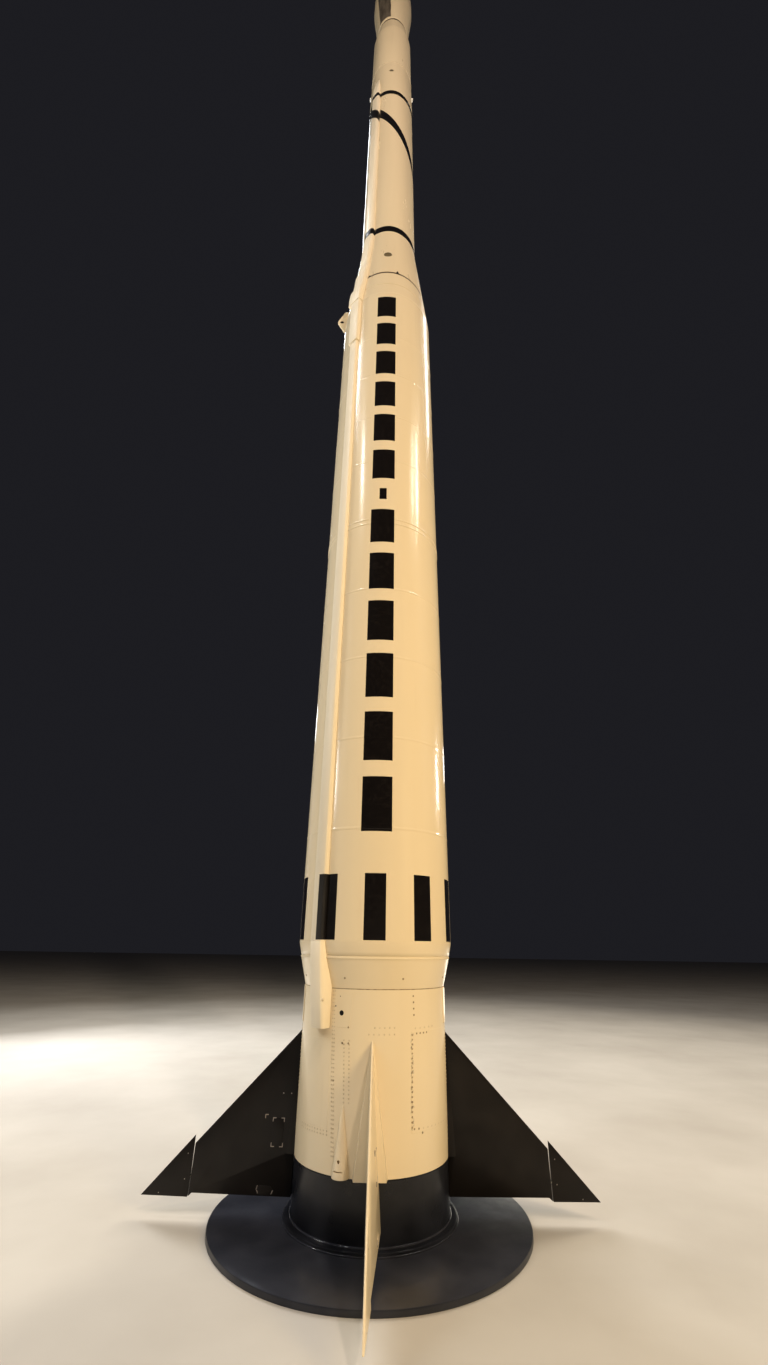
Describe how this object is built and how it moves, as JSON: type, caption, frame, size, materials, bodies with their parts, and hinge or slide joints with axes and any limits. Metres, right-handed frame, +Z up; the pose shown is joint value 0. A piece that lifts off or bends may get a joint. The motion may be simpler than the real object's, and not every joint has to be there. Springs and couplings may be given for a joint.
{
  "type": "space rocket",
  "caption": "Multi-stage solid-fuel space rocket with swept fins and steerable fin tips, standing on its round black display stand.",
  "frame": {"origin": "centre of the underside of the display stand's floor plate, on the floor under the rocket's axis", "axes": "+Z up along the rocket's axis towards the nose; -Y towards the front fin; +X towards the black fin on the right as seen from the front"},
  "size_m": [2.962, 2.962, 23.05],
  "materials": {
    "white_paint": "glossy",
    "black_paint": "satin",
    "stand_black": "glossy",
    "motor_grey": "matte"
  },
  "bodies": {
    "rocket": {"stand_floor_plate": "stand_black", "stand_drum": "stand_black", "stand_foot_ring": "stand_black", "base_section": "white_paint", "aft_cone": "white_paint", "aft_skirt": "white_paint", "first_stage_motor": "white_paint", "forward_cone": "white_paint", "interstage": "white_paint", "second_stage_motor": "white_paint", "third_stage_adapter": "white_paint", "third_stage_motor": "white_paint", "waist_cone": "white_paint", "heat_shield_front": "white_paint", "heat_shield_rear": "white_paint", "nose_cap": "white_paint", "fourth_stage_motor": "motor_grey", "tunnel_foot_left": "white_paint", "tunnel_foot_right": "white_paint", "first_stage_tunnel_left": "white_paint", "first_stage_tunnel_right": "white_paint", "tunnel_head_left": "white_paint", "tunnel_head_right": "white_paint", "interstage_bump_left": "white_paint", "interstage_bump_right": "white_paint", "interstage_tunnel_left": "white_paint", "interstage_tunnel_right": "white_paint", "second_stage_tunnel_left": "white_paint", "second_stage_tunnel_right": "white_paint", "adapter_tunnel_left": "white_paint", "adapter_tunnel_right": "white_paint", "pointed_fairing": "white_paint", "hoist_lug": "white_paint", "fin_front": "white_paint", "fin_right": "black_paint", "fin_rear": "white_paint", "fin_left": "black_paint"},
    "control_front": {"tip_control_front": "white_paint"},
    "control_right": {"tip_control_right": "black_paint"},
    "control_rear": {"tip_control_rear": "white_paint"},
    "control_left": {"tip_control_left": "black_paint"}
  },
  "joints": [
    {"name": "steer_front", "type": "hinge", "parent": "rocket", "child": "control_front", "pos_m": [0, -1.176, 0.2], "axis": [0, -1, 0], "range_deg": [-20, 20]},
    {"name": "steer_right", "type": "hinge", "parent": "rocket", "child": "control_right", "pos_m": [1.176, 0, 0.2], "axis": [1, 0, 0], "range_deg": [-20, 20]},
    {"name": "steer_rear", "type": "hinge", "parent": "rocket", "child": "control_rear", "pos_m": [0, 1.176, 0.2], "axis": [0, 1, 0], "range_deg": [-20, 20]},
    {"name": "steer_left", "type": "hinge", "parent": "rocket", "child": "control_left", "pos_m": [-1.176, 0, 0.2], "axis": [-1, 0, 0], "range_deg": [-20, 20]}
  ]
}
